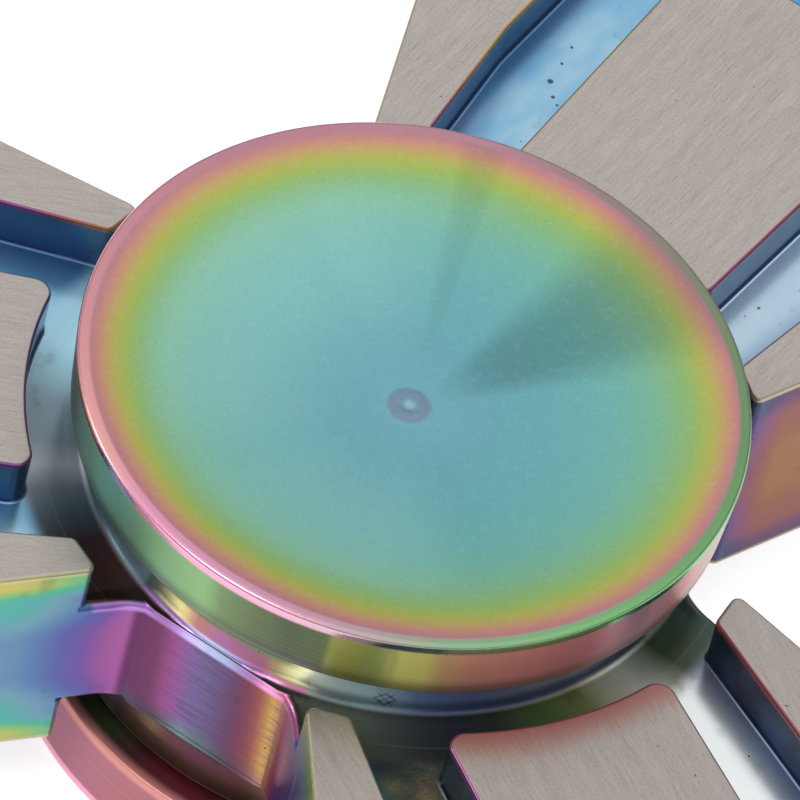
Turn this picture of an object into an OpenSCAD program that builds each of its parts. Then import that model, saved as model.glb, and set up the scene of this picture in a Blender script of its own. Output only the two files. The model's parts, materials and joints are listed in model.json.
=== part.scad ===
// Three-armed finger spinner. A cast body turns on a small shielded ball bearing, and two finger
// caps, joined by a threaded stud through the bearing, are held between finger and thumb.
// The origin is the middle of the spinner, on its spin axis. +Z leaves the top cap, and the first
// arm points along +Y.

/* [Body] */
// Distance from the spin axis to the end of each arm
arm_reach = 30; // [28:0.5:40]
// Thickness of the body between its two brushed faces
body_t = 8.5; // [7:0.1:12]
// Depth of the grooves, and of the moat round the hub, on each face
groove_depth = 1.85; // [1:0.05:2.2]
// Angle between an arm's outer wall and its middle line
arm_flare = 21; // [12:1:24]
// Radial width of the moat left showing round a cap
moat_gap = 1; // [0.6:0.05:1.8]
// How far the hub boss stays inside the cap's edge
boss_inset = 1.1; // [0.8:0.1:1.6]
// How far the hub boss stays below the body's face
boss_drop = 0.05; // [0:0.05:0.4]
// Size of the cone at the foot of the hub boss
boss_foot = 0.4; // [0.1:0.1:0.8]
// Ledge between the hub boss and the flat waist wall
waist_ledge = 0.14; // [0.05:0.01:0.5]
// Half the angle that the flat waist wall spans between two arms
waist_half_angle = 15.3; // [12:0.1:20]
// Radius of the hollow where the waist wall turns into an arm
neck_r = 2.6; // [2:0.1:4]
// How far the arm's wall line lies inside the waist's corner
neck_step = 0.22; // [0:0.02:0.8]
// Radius of the corners at the end of an arm
arm_corner_r = 2.5; // [1:0.5:4]

/* [Relief on the arms] */
// Width of a rail at its tip beside the moat
rail_tip_w = 1.5; // [1.1:0.05:2.5]
// Radius of the corners of a rail's tip
rail_tip_r = 0.3; // [0.2:0.05:0.5]
// Width of a groove where it leaves the moat
groove_w = 2.6; // [2:0.1:3.2]
// Angle between a rail's inner wall and the arm's middle line, before its knee
rail_flare = 6.5; // [2:0.5:10]
// Distance along the arm from the rail's tip to its knee
groove_run = 6.8; // [4:0.2:8]
// Angle between a raised plate's side and the arm's middle line
plate_flare = 1.65; // [0:0.05:3]
// Radius of the raised plate's corners
plate_corner_r = 0.6; // [0.3:0.1:1]
// How far the plates' hub ends stand back from the moat
plate_setback = 0.2; // [0:0.05:1]
// Radius of the groove's outer corners
bay_corner_r = 2; // [1:0.5:3]
// Width of the raised band at the end of an arm
end_band = 3; // [2:0.2:6]

/* [Finger caps] */
// Diameter of a finger cap at its rim
cap_d = 22; // [19:0.5:26.5]
// Height of a cap's disc from its underside to its rim
cap_t = 2.45; // [2:0.05:4]
// Gap between a cap's underside and the body's face
cap_gap = 0.3; // [0.15:0.05:1]
// Depth of the finger dish at its middle
dish_depth = 1.2; // [0.4:0.1:1.3]
// Width of the flat land round the dish
rim_land = 0.25; // [0.2:0.05:1]
// Size of the bevel on the outer edge of the rim
rim_bevel = 0.35; // [0.1:0.05:0.6]
// How much smaller in radius the cap is at its underside
cap_taper = 0.3; // [0:0.05:0.6]
// Radius of the turned nub in the middle of the dish
nub_r = 0.8; // [0.5:0.1:1.5]
// Height of the turned nub
nub_h = 0.08; // [0.04:0.02:0.2]
// Radius of the centre-drill dimple in the nub
nub_dimple_r = 0.25; // [0.1:0.05:0.4]

/* [Ball bearing] */
// Bore of the bearing
bearing_bore = 6.35; // [5:0.05:8]
// Outside diameter of the bearing
bearing_od = 12.7; // [10.5:0.1:16]
// Width of the bearing
bearing_w = 4.762; // [3.9:0.001:6.2]
// Diameter of a ball
ball_d = 1.588; // [1.2:0.001:1.95]
// Number of balls
ball_count = 10; // [7:1:10]
// Clearance between a ball and its raceways
race_gap = 0.03; // [0.01:0.005:0.05]
// Clearance between a ball and its pocket in the cage
pocket_gap = 0.05; // [0.02:0.01:0.08]
// Thickness of a shield, and of the clip that holds it
shield_t = 0.2; // [0.15:0.01:0.25]
// Gap between a shield's bore and the inner ring
shield_gap = 0.1; // [0.05:0.01:0.2]
// How deep the shields sit below the faces of the bearing
shield_inset = 0.45; // [0.4:0.01:0.5]
// How far the clip's groove runs into the outer ring
clip_bite = 0.12; // [0.05:0.01:0.2]
// Angle left open in a clip
clip_opening = 30; // [15:5:60]

/* [Fits and fastening] */
// Radial clearance between a cap's spigot and the bearing's bore
spigot_fit = 0.02; // [0.01:0.005:0.05]
// Gap between the ends of the two spigots
spigot_split = 0.3; // [0.1:0.1:1]
// Radius of the threaded stud
stud_r = 2; // [1.5:0.25:2.25]
// Clearance between the stud and the holes it screws into
stud_fit = 0.02; // [0.01:0.005:0.05]
// Depth of the stud's hole in each cap, above the end of the spigot
stud_hole_depth = 4.6; // [3:0.1:5]
// Room left between the stud and the bottom of the top cap's hole
stud_play = 0.4; // [0.2:0.1:1]
// Width across the flats of the hexagon socket in each end of the stud
stud_socket = 2; // [1.5:0.25:2.5]
// Depth of that socket
stud_socket_depth = 1.5; // [1:0.25:2]
// Width of the lip that stops the bearing in the hub
lip_w = 0.4; // [0.3:0.05:0.8]
// Bevel that leads the bearing into the hub
lead_in = 0.3; // [0.1:0.05:0.5]

/* [Hidden] */
$fn = 128;
arm_count = 3;
arm_step = 360 / arm_count;
over = 1;      // how far a cutting solid runs past what it cuts
arc_step = 18; // largest turn between the points of a rounded corner, in degrees

// Heights above the middle plane
face_z = body_t / 2;
floor_z = face_z - groove_depth;
boss_z = face_z - boss_drop;
cap_z = face_z + cap_gap;
rim_z = cap_z + cap_t;
ring_z = bearing_w / 2;

// Radii round the spin axis
cap_r = cap_d / 2;
boss_r = cap_r - boss_inset;
moat_r = cap_r + moat_gap;
waist_r = boss_r + waist_ledge;
land_r = cap_r - rim_bevel - rim_land;
dish_r = (land_r * land_r + dish_depth * dish_depth) / (2 * dish_depth);

// Bearing
pitch_r = (bearing_bore + bearing_od) / 4;
ball_r = ball_d / 2;
race_r = ball_r + race_gap;
land_step = 0.7 * ball_r; // from the pitch circle to the shoulder beside each raceway
inner_shoulder_r = pitch_r - land_step;
outer_shoulder_r = pitch_r + land_step;
cage_half_w = 0.62 * land_step; // half the cage's wall, which leaves room on both sides
cage_back = ball_r + 0.45;      // solid side of the cage, past the balls
cage_front = 0.7 * ball_r;      // open side, where the pockets snap over the balls
shield_z = ring_z - shield_inset - shield_t;
clip_z = shield_z + shield_t;
counterbore_r = (outer_shoulder_r + bearing_od / 2) / 2;
clip_r = counterbore_r + clip_bite;
ring_bevel = 0.15;

// Bore of the inner ring, and what passes through it
bore_r = bearing_bore / 2;
spigot_r = bore_r - spigot_fit;
collar_r = (bore_r + inner_shoulder_r) / 2; // shoulder of the cap, which bears on the inner ring
spigot_end = spigot_split / 2;
stud_hole_r = stud_r + stud_fit;
stud_hole_top = spigot_end + stud_hole_depth;
lip_r = bearing_od / 2 - lip_w;

// Outline of an arm that points along +Y. A wall is x = a + b * y, given as [a, b].
function wall_through(p, b) = [p.x - b * p.y, b];
function at(wall, y) = [wall[0] + wall[1] * y, y];
// Where a wall, moved sideways by d, crosses the circle of radius rho round the spin axis
function crossing(wall, rho, d = 0) =
    let (q = 1 + wall[1] * wall[1], a = wall[0] + d * sqrt(q), b = wall[1])
    at([a, b], (sqrt(rho * rho * q - a * a) - a * b) / q);
// Adds the mirror image of the points of the right half
function both(pts) = concat(pts, [for (i = [len(pts) - 1:-1:0]) [-pts[i].x, pts[i].y]]);

waist_corner_r = waist_r / cos(waist_half_angle);
waist_corner = waist_corner_r * [sin(60 - waist_half_angle), cos(60 - waist_half_angle)];
wall_out = [cos(arm_flare), -sin(arm_flare)];
wall_along = [sin(arm_flare), cos(arm_flare)];
neck_off = neck_r - neck_step;
neck_c = waist_corner + neck_off * wall_out
    + sqrt(neck_r * neck_r - neck_off * neck_off) * wall_along;
neck_end = neck_c - neck_r * wall_out;
arm_wall = wall_through(neck_end, tan(arm_flare));

rail_outer = crossing(arm_wall, moat_r);
rail_angle = atan2(rail_outer.x, rail_outer.y) - rail_tip_w / moat_r * 180 / PI;
rail_inner = moat_r * [sin(rail_angle), cos(rail_angle)];
rail_wall = wall_through(rail_inner, tan(rail_flare));
knee = at(rail_wall, rail_inner.y + groove_run);
knee_wall = [knee.x, 0];
plate_wall = wall_through(rail_inner - [groove_w, 0], tan(plate_flare));
bay_end_r = arm_reach - end_band;
plate_end_r = bay_end_r - groove_w;
plate_start_r = moat_r + plate_setback;

function mirrored(p, m) = [m * p.x, p.y];
function turned(p, a) = [p.x * cos(a) - p.y * sin(a), p.x * sin(a) + p.y * cos(a)];
// A corner between a wall and a circle round the axis is [wall, rho, side, beyond, radius]: side is
// 1 where the solid lies on the +X side of the wall, or -1, and beyond is 1 where it lies outside
// the circle, or -1.
function corner_centre(c) = crossing(c[0], c[1] + c[3] * c[4], c[2] * c[4]);
function angle_of(v) = atan2(v.y, v.x);
function arc(centre, r, from, turn) =
    let (n = ceil(abs(turn) / arc_step))
    [for (i = [0:n]) centre + r * [cos(from + turn * i / n), sin(from + turn * i / n)]];
// Round outline of the corner, from where it leaves the wall to where it meets the circle
function corner_arc(c) =
    let (o = corner_centre(c), across = [1, -c[0][1]], from = angle_of(-c[2] * across),
         turn = angle_of(c[3] * -o) - from)
    arc(o, c[4], from, turn > 180 ? turn - 360 : turn < -180 ? turn + 360 : turn);

// What rounding a corner takes away, on the right half or, with m = -1, on the left
module corner_cut(c, m) {
    tip = crossing(c[0], c[1]);
    beyond = tip + (tip - corner_centre(c)) / 2;
    polygon([for (p = concat([beyond], corner_arc(c))) mirrored(p, m)]);
}

module rounded(corners) {
    difference() {
        children();
        for (c = corners, m = [1, -1]) corner_cut(c, m);
    }
}

// Outline of the whole body: for each arm a waist corner, its neck and wall, and the same mirrored
module body_2d() {
    far = at(arm_wall, arm_reach + over);
    turn = acos(neck_off / neck_r);
    neck = arc(neck_c, neck_r, angle_of(-wall_out) + turn, -turn);
    difference() {
        intersection() {
            polygon([for (i = [0:arm_count - 1], p = both(concat(neck, [far]))) turned(p, arm_step * i)]);
            circle(r = arm_reach);
        }
        for (i = [0:arm_count - 1], m = [1, -1]) rotate(arm_step * i)
            corner_cut([arm_wall, arm_reach, -1, -1, arm_corner_r], m);
    }
}

// Space between an arm's two rails, from the moat to the band at its end
module bay_2d() {
    rounded([[knee_wall, bay_end_r, -1, -1, bay_corner_r]])
        intersection() {
            polygon(both([at(rail_wall, 0), knee, at(knee_wall, arm_reach)]));
            circle(r = bay_end_r);
        }
}

module plate_2d() {
    rounded([[plate_wall, plate_end_r, -1, -1, plate_corner_r],
             [plate_wall, plate_start_r, -1, 1, plate_corner_r]])
        difference() {
            intersection() {
                polygon(both([at(plate_wall, 0), at(plate_wall, arm_reach)]));
                circle(r = plate_end_r);
            }
            circle(r = plate_start_r);
        }
}

// What is sunk into each face: the moat, the grooves and the rounding of the rails' tips
module sunk_2d() {
    rail_tip = [[arm_wall, moat_r, -1, 1, rail_tip_r], [rail_wall, moat_r, 1, 1, rail_tip_r]];
    circle(r = moat_r);
    for (i = [0:arm_count - 1]) rotate(arm_step * i) {
        difference() {
            bay_2d();
            plate_2d();
        }
        for (c = rail_tip, m = [1, -1]) corner_cut(c, m);
    }
}

module sunk() {
    difference() {
        translate([0, 0, floor_z]) linear_extrude(groove_depth + over) sunk_2d();
        cylinder(h = boss_z, r = boss_r);
        translate([0, 0, floor_z]) cylinder(h = boss_foot, r1 = boss_r + boss_foot, r2 = boss_r);
    }
}

// Hole for the bearing, pushed in from the top against a lip
module bearing_seat() {
    translate([0, 0, -ring_z]) cylinder(h = boss_z + ring_z + over, r = bearing_od / 2);
    translate([0, 0, boss_z - lead_in])
        cylinder(h = lead_in + over, r1 = bearing_od / 2, r2 = bearing_od / 2 + lead_in + over);
    translate([0, 0, -body_t]) cylinder(h = body_t, r = lip_r);
}

module three_arm_body() {
    color("rosybrown") difference() {
        translate([0, 0, -face_z]) linear_extrude(body_t) body_2d();
        for (m = [0, 1]) mirror([0, 0, m]) sunk();
        bearing_seat();
    }
}

// Outline of a bearing ring between two radii, with bevelled corners
module ring_profile(r1, r2) {
    polygon([[r1 + ring_bevel, -ring_z], [r2 - ring_bevel, -ring_z], [r2, ring_bevel - ring_z],
             [r2, ring_z - ring_bevel], [r2 - ring_bevel, ring_z], [r1 + ring_bevel, ring_z],
             [r1, ring_z - ring_bevel], [r1, ring_bevel - ring_z]]);
}

module race() {
    rotate_extrude() translate([pitch_r, 0]) circle(r = race_r);
}

module bearing_outer_ring() {
    color("silver") difference() {
        rotate_extrude() ring_profile(outer_shoulder_r, bearing_od / 2);
        race();
        for (m = [0, 1]) mirror([0, 0, m]) {
            translate([0, 0, shield_z]) cylinder(h = bearing_w, r = counterbore_r);
            translate([0, 0, clip_z]) cylinder(h = shield_t, r = clip_r);
        }
    }
}

module bearing_inner_ring() {
    color("silver") difference() {
        rotate_extrude() ring_profile(bore_r, inner_shoulder_r);
        race();
    }
}

module at_ball(i) {
    rotate(360 / ball_count * (i - 1)) translate([pitch_r, 0, 0]) children();
}

module ball(i) {
    color("gainsboro") at_ball(i) sphere(r = ball_r);
}

module ball_cage() {
    color("darkgray") difference() {
        translate([0, 0, -cage_back]) cylinder(h = cage_back + cage_front, r = pitch_r + cage_half_w);
        translate([0, 0, -cage_back - over])
            cylinder(h = cage_back + cage_front + 2 * over, r = pitch_r - cage_half_w);
        for (i = [1:ball_count]) at_ball(i) sphere(r = ball_r + pocket_gap);
    }
}

module shield() {
    translate([0, 0, shield_z]) difference() {
        cylinder(h = shield_t, r = counterbore_r);
        translate([0, 0, -over]) cylinder(h = shield_t + 2 * over, r = inner_shoulder_r + shield_gap);
    }
}

module bearing_shield_top() {
    color("lightsteelblue") shield();
}

module bearing_shield_bottom() {
    color("lightsteelblue") mirror([0, 0, 1]) shield();
}

// Open ring that springs into the outer ring's groove and holds the shield
module clip() {
    half = clip_opening / 2;
    translate([0, 0, clip_z]) difference() {
        cylinder(h = shield_t, r = clip_r);
        translate([0, 0, -over]) cylinder(h = shield_t + 2 * over, r = outer_shoulder_r);
        translate([0, 0, -over]) linear_extrude(shield_t + 2 * over)
            polygon([[0, 0], bearing_od * [cos(half), -sin(half)], bearing_od * [cos(half), sin(half)]]);
    }
}

module shield_clip_top() {
    color("dimgray") clip();
}

module shield_clip_bottom() {
    color("dimgray") mirror([0, 0, 1]) clip();
}

// Turned cap: dished disc, collar that bears on the inner ring, and spigot that centres it
module finger_cap() {
    difference() {
        rotate_extrude() polygon([
            [0, spigot_end], [spigot_r, spigot_end], [spigot_r, ring_z], [collar_r, ring_z],
            [collar_r, cap_z], [cap_r - cap_taper, cap_z], [cap_r, rim_z - rim_bevel],
            [cap_r - rim_bevel, rim_z], [0, rim_z]]);
        translate([0, 0, rim_z - dish_depth + dish_r]) sphere(r = dish_r, $fn = 256);
        translate([0, 0, spigot_end - over]) cylinder(h = stud_hole_depth + over, r = stud_hole_r);
    }
    nub();
}

module nub() {
    dish_z = rim_z - dish_depth;
    difference() {
        translate([0, 0, dish_z - nub_h]) cylinder(h = 2 * nub_h, r = nub_r, $fn = 64);
        translate([0, 0, dish_z]) cylinder(h = nub_h + over, r1 = 0, r2 = nub_dimple_r * (1 + over / nub_h));
    }
}

module finger_cap_top() {
    color("mediumaquamarine") finger_cap();
}

module finger_cap_bottom() {
    color("palevioletred") mirror([0, 0, 1]) finger_cap();
}

// Headless screw that draws the caps together and rests in the bottom cap's hole
module centre_stud() {
    bottom = -stud_hole_top;
    top = stud_hole_top - stud_play;
    bevel = 0.3;
    color("slategray") difference() {
        rotate_extrude() polygon([[0, bottom], [stud_r - bevel, bottom], [stud_r, bottom + bevel],
            [stud_r, top - bevel], [stud_r - bevel, top], [0, top]]);
        for (z = [bottom - over, top - stud_socket_depth]) translate([0, 0, z])
            cylinder(h = stud_socket_depth + over, d = stud_socket / cos(30), $fn = 6);
    }
}

three_arm_body();
bearing_outer_ring();
bearing_inner_ring();
ball_cage();
for (i = [1:ball_count]) ball(i);
bearing_shield_top();
bearing_shield_bottom();
shield_clip_top();
shield_clip_bottom();
finger_cap_top();
finger_cap_bottom();
centre_stud();
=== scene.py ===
import bmesh
import bpy
import json
import math
import numpy as np
from mathutils import Matrix, Vector

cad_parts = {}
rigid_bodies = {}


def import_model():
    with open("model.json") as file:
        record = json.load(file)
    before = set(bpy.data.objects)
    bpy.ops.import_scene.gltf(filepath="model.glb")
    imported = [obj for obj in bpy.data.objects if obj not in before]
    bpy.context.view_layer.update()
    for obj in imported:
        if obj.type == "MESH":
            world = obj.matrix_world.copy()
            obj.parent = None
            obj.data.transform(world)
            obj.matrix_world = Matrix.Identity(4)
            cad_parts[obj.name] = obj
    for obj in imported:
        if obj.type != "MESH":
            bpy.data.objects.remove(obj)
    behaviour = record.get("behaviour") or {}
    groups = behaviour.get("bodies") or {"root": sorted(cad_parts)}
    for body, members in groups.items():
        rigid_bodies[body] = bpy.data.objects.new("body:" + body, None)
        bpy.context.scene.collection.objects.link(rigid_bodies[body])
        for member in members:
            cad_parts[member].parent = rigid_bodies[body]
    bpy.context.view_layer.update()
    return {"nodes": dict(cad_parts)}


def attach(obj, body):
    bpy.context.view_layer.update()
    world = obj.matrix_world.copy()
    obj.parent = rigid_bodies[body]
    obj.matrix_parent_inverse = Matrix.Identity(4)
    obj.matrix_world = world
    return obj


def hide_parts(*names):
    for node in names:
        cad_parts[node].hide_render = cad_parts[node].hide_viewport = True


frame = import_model()
mm = 0.001
print("frame loaded:", len(frame["nodes"]), "nodes")


# One output socket, so that node maths reads as plain arithmetic.
class Wire:
    def __init__(self, tree, socket):
        self.tree, self.socket = tree, socket

    def math(self, operation, a, b=None):
        node = self.tree.nodes.new("ShaderNodeMath")
        node.operation = operation
        for slot, value in zip(node.inputs, (a, b)):
            plug(self.tree, slot, value)
        return Wire(self.tree, node.outputs[0])

    def __add__(self, other): return self.math("ADD", self, other)
    def __radd__(self, other): return self.math("ADD", other, self)
    def __sub__(self, other): return self.math("SUBTRACT", self, other)
    def __rsub__(self, other): return self.math("SUBTRACT", other, self)
    def __mul__(self, other): return self.math("MULTIPLY", self, other)
    def __rmul__(self, other): return self.math("MULTIPLY", other, self)
    def __truediv__(self, other): return self.math("DIVIDE", self, other)
    def __pow__(self, other): return self.math("POWER", self, other)
    def __abs__(self): return self.math("ABSOLUTE", self)


def plug(tree, slot, value):
    if isinstance(value, Wire):
        tree.links.new(value.socket, slot)
    elif value is not None:
        slot.default_value = value


# A node tree that add() puts nodes into.
class Nodes:
    def __init__(self, tree):
        self.tree = tree

    def add(self, kind, settings=None, out=0, **values):
        node = self.tree.nodes.new("ShaderNode" + kind)
        for name, value in (settings or {}).items():
            if name == "stops":
                fillRamp(node.color_ramp, value)
            else:
                setattr(node, name, value)
        for name, value in values.items():
            key = spaced(name)
            slot = node.inputs[int(key[1:])] if key[0] == "i" and key[1:].isdigit() else node.inputs[key]
            plug(self.tree, slot, value)
        return Wire(self.tree, node.outputs[out])

    def parts(self, vector):
        node = self.tree.nodes.new("ShaderNodeSeparateXYZ")
        plug(self.tree, node.inputs[0], vector)
        return [Wire(self.tree, node.outputs[i]) for i in range(3)]

    def join(self, x=0.0, y=0.0, z=0.0):
        return self.add("CombineXYZ", X=x, Y=y, Z=z)

    def ramp(self, value, stops):
        return self.add("ValToRGB", {"stops": stops}, Fac=value)

    def noise(self, vector, scale, detail, roughness):
        return self.add("TexNoise", Vector=vector, Scale=scale, Detail=detail, Roughness=roughness)

    # A smooth step of the value between two limits, onto a new range.
    def fit(self, value, low, high, newLow=0.0, newHigh=1.0):
        return self.add("MapRange", {"interpolation_type": "SMOOTHSTEP"}, Value=value,
                        From_Min=low, From_Max=high, To_Min=newLow, To_Max=newHigh)

    def blend(self, amount, first, second):
        node = self.tree.nodes.new("ShaderNodeMix")
        node.data_type = "RGBA"
        for slot, value in ((0, amount), (6, first), (7, second)):
            plug(self.tree, node.inputs[slot], value)
        return Wire(self.tree, node.outputs[2])


# A finish: a material whose Principled shader is fed by set().
class Finish(Nodes):
    def __init__(self, name, **constants):
        self.material = bpy.data.materials.new(name)
        self.material.use_nodes = True
        super().__init__(self.material.node_tree)
        self.shader = self.tree.nodes["Principled BSDF"]
        self.set(**constants)

    def set(self, **values):
        for name, value in values.items():
            plug(self.tree, self.shader.inputs[spaced(name)], value)

    def place(self):
        return self.add("TexCoord", out="Object")

    def facing(self):
        return self.add("TexCoord", out="Normal")

    def bump(self, height, distance, strength):
        return self.add("Bump", Height=height, Distance=distance, Strength=strength)


def spaced(name):
    return name.replace("_", " ")


def fillRamp(ramp, stops):
    while len(ramp.elements) < len(stops):
        ramp.elements.new(0.5)
    for element, (position, colour) in zip(ramp.elements, stops):
        element.position, element.color = position, tint(colour)


# Linear colour with alpha from a display colour of 0 to 255 or a grey level of 0 to 1.
def tint(rgb):
    if isinstance(rgb, (int, float)):
        return (rgb, rgb, rgb, 1.0)
    c = np.array(rgb, float) / 255
    linear = np.where(c <= 0.04045, c / 12.92, ((c + 0.055) / 1.055) ** 2.4)
    return (*linear, 1.0)


def makeMesh(name, points, faces, smooth=True):
    mesh = bpy.data.meshes.new(name)
    mesh.from_pydata(points.tolist() if isinstance(points, np.ndarray) else points, [], faces)
    mesh.validate()
    if smooth:
        mesh.shade_smooth()
    piece = bpy.data.objects.new(name, mesh)
    bpy.context.scene.collection.objects.link(piece)
    return piece


# Points on a circle from one angle to another, in degrees.
def arc(centre, radius, start, end, step=4):
    n = max(2, int(math.ceil(abs(end - start) / step)) + 1)
    a = np.radians(np.linspace(start, end, n))
    return np.column_stack([centre[0] + radius * np.cos(a), centre[1] + radius * np.sin(a)])


def angleOf(v):
    return math.degrees(math.atan2(v[1], v[0]))


# Where the wall x = a + b*y, moved sideways, meets a circle of radius rho round the origin.
def crossing(wall, rho, shift=0.0):
    a, b = wall
    q = 1 + b * b
    a = a + shift * math.sqrt(q)
    y = (math.sqrt(rho * rho * q - a * a) - a * b) / q
    return np.array([a + b * y, y])


# Fillet between a wall and a circle round the origin: its circle touches both.
def cornerArc(wall, rho, side, beyond, radius, step=8):
    centre = crossing(wall, rho + beyond * radius, side * radius)
    across = np.array([1.0, -wall[1]])
    start = angleOf(-side * across)
    turn = (angleOf(-beyond * centre) - start + 180) % 360 - 180
    return arc(centre, radius, start, start + turn, step)


# Closed outline from its right half, which starts and ends on the middle line.
def mirrorHalf(right):
    left = right[::-1] * [-1, 1]
    return np.vstack([right, left[1:-1]])


# Mitred outward normal at each point of a closed anticlockwise outline.
def outwardNormals(outline):
    before = outline - np.roll(outline, 1, axis=0)
    after = np.roll(outline, -1, axis=0) - outline
    n1 = np.column_stack([before[:, 1], -before[:, 0]]) / np.linalg.norm(before, axis=1)[:, None]
    n2 = np.column_stack([after[:, 1], -after[:, 0]]) / np.linalg.norm(after, axis=1)[:, None]
    total = n1 + n2
    return total / np.maximum((total * n1).sum(1), 0.35)[:, None]


def anticlockwise(outline):
    x, y = outline.T
    area = (x * np.roll(y, -1) - np.roll(x, -1) * y).sum()
    return outline if area > 0 else outline[::-1]


# Closed solid: each ring is the outline moved outwards by an offset, one number or one per
# point, at a height. Rings go from the bottom up; the first and last are closed flat.
def prism(outline, rings):
    n = len(outline)
    normals = outwardNormals(outline)
    layers = [np.column_stack([outline + normals * np.broadcast_to(off, n)[:, None], np.full(n, z)])
              for off, z in rings]
    points = np.vstack(layers)
    i = np.arange(n)
    j = np.roll(i, -1)
    quads = np.vstack([np.column_stack([k * n + i, k * n + j, (k + 1) * n + j, (k + 1) * n + i])
                       for k in range(len(rings) - 1)])
    top = (len(rings) - 1) * n + i
    return points, [tuple(i[::-1])] + [tuple(q) for q in quads.tolist()] + [tuple(top)]


# Surface of revolution round Z: points are (r cos a, r sin a, z) for profile points (r, z).
def revolve(profile, segments):
    a = np.linspace(0, 2 * math.pi, segments, endpoint=False)
    r, z = np.asarray(profile, float).T
    grid = np.stack([np.outer(r, np.cos(a)), np.outer(r, np.sin(a)), np.outer(z, np.ones(segments))], 2)
    points = grid.reshape(-1, 3)
    rows = len(profile)
    i, j = np.meshgrid(np.arange(rows - 1), np.arange(segments), indexing="ij")
    k = (j + 1) % segments
    quads = np.stack([i * segments + j, i * segments + k, (i + 1) * segments + k, (i + 1) * segments + j], 2)
    return points, quads.reshape(-1, 4)


bodyMm = {
    "reach": 30.0, "thick": 8.5, "depth": 1.85, "flare": 21.0,
    "capR": 11.0, "moatGap": 1.0, "bossInset": 1.1, "bossDrop": 0.05,
    "waistLedge": 0.14, "waistHalf": 15.3, "neckR": 2.6, "neckStep": 0.22,
    "tipCorner": 2.5, "railTipW": 1.5, "railTipR": 0.3, "grooveW": 2.6,
    "railFlare": 6.5, "grooveRun": 6.8, "kneeR": 5.0, "plateFlare": 1.65, "plateCorner": 0.6,
    "plateSetback": 0.2, "bayCorner": 2.0, "endBand": 3.0,
    "faceRound": 0.12,   # rounding of the edges of the brushed faces
    "waistRound": 0.30,  # rounding of the waist's upper and lower edge
    "webProud": 0.004,   # how far the hub's web stands past the arms' walls, so that they don't coincide
    "webFlush": 10.2,    # distance along the arm up to which it does
    "webSunk": 0.35,     # how far the web lies inside the rails, further out
    "footRound": 0.14,   # fillet where a wall meets a groove floor
    "bossFoot": 0.40, "bossRound": 0.2,
    "bossRise": 0.34,    # least height of the boss's foot, beside the waists
    "bossSegments": 288, "seatSegments": 160, "sharpDegrees": 17,
    "seatR": 6.35, "lipR": 5.95, "seatZ": 2.381, "leadIn": 0.3,
}


# Derived lines and radii of the body, as in the frame.
def bodyShape(s):
    d = dict(s)
    d["faceZ"] = s["thick"] / 2
    d["floorZ"] = d["faceZ"] - s["depth"]
    d["bossZ"] = d["faceZ"] - s["bossDrop"]
    d["bossR"] = s["capR"] - s["bossInset"]
    d["moatR"] = s["capR"] + s["moatGap"]
    d["waistR"] = d["bossR"] + s["waistLedge"]
    half, flare = math.radians(60 - s["waistHalf"]), math.radians(s["flare"])
    corner = d["waistR"] / math.cos(math.radians(s["waistHalf"])) * np.array([math.sin(half), math.cos(half)])
    out = np.array([math.cos(flare), -math.sin(flare)])
    along = np.array([math.sin(flare), math.cos(flare)])
    off = s["neckR"] - s["neckStep"]
    neckC = corner + off * out + math.sqrt(s["neckR"] ** 2 - off ** 2) * along
    neckEnd = neckC - s["neckR"] * out
    d.update(waistCorner=corner, neckC=neckC, neckEnd=neckEnd, out=out)
    d["armWall"] = (neckEnd[0] - math.tan(flare) * neckEnd[1], math.tan(flare))
    outer = crossing(d["armWall"], d["moatR"])
    railAngle = math.atan2(outer[0], outer[1]) - s["railTipW"] / d["moatR"]
    inner = d["moatR"] * np.array([math.sin(railAngle), math.cos(railAngle)])
    slope = math.tan(math.radians(s["railFlare"]))
    d["railWall"] = (inner[0] - slope * inner[1], slope)
    knee = inner + s["grooveRun"] * np.array([slope, 1.0])
    d["knee"], d["kneeWall"] = knee, (knee[0], 0.0)
    slope = math.tan(math.radians(s["plateFlare"]))
    d["plateWall"] = (inner[0] - s["grooveW"] - slope * inner[1], slope)
    d["bayEndR"] = s["reach"] - s["endBand"]
    d["plateEndR"] = d["bayEndR"] - s["grooveW"]
    d["plateStartR"] = d["moatR"] + s["plateSetback"]
    return d


# Arc round the origin from the middle line of the arm out to the point at x.
def middleArc(radius, x):
    return arc((0, 0), radius, 90, math.degrees(math.acos(x / radius)), 1.5)


# Horseshoe of the two rails and the end band. Returns its outline and, for each point, how
# much of it faces the grooves.
def railsOutline(d):
    tip = cornerArc(d["armWall"], d["reach"], -1, -1, d["tipCorner"])
    foot = cornerArc(d["armWall"], d["moatR"], -1, 1, d["railTipR"], 12)
    nose = cornerArc(d["railWall"], d["moatR"], 1, 1, d["railTipR"], 12)
    bay = cornerArc(d["kneeWall"], d["bayEndR"], -1, -1, d["bayCorner"])
    bend = math.radians(d["railFlare"])
    run = d["kneeR"] * math.tan(bend / 2)
    kneeStart = d["knee"] - run * np.array([math.sin(bend), math.cos(bend)])
    kneeC = kneeStart + d["kneeR"] * np.array([-math.cos(bend), math.sin(bend)])
    kneeArc = arc(kneeC, d["kneeR"], -math.degrees(bend), 0, 1.5)
    half = [middleArc(d["reach"], tip[-1][0])[:-1], tip[::-1], foot, nose[::-1], kneeArc, bay,
            middleArc(d["bayEndR"], bay[-1][0])[::-1][1:]]
    inside = [0.0] * (len(half[0]) + len(half[1]))
    inside += np.linspace(0, 0.6, len(foot)).tolist() + np.linspace(0.6, 1, len(nose)).tolist()
    inside += [1.0] * (len(kneeArc) + len(bay) + len(half[-1]))
    inside = np.array(inside)
    outline = mirrorHalf(np.vstack(half))
    return outline, np.concatenate([inside, inside[::-1][1:-1]])


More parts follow.
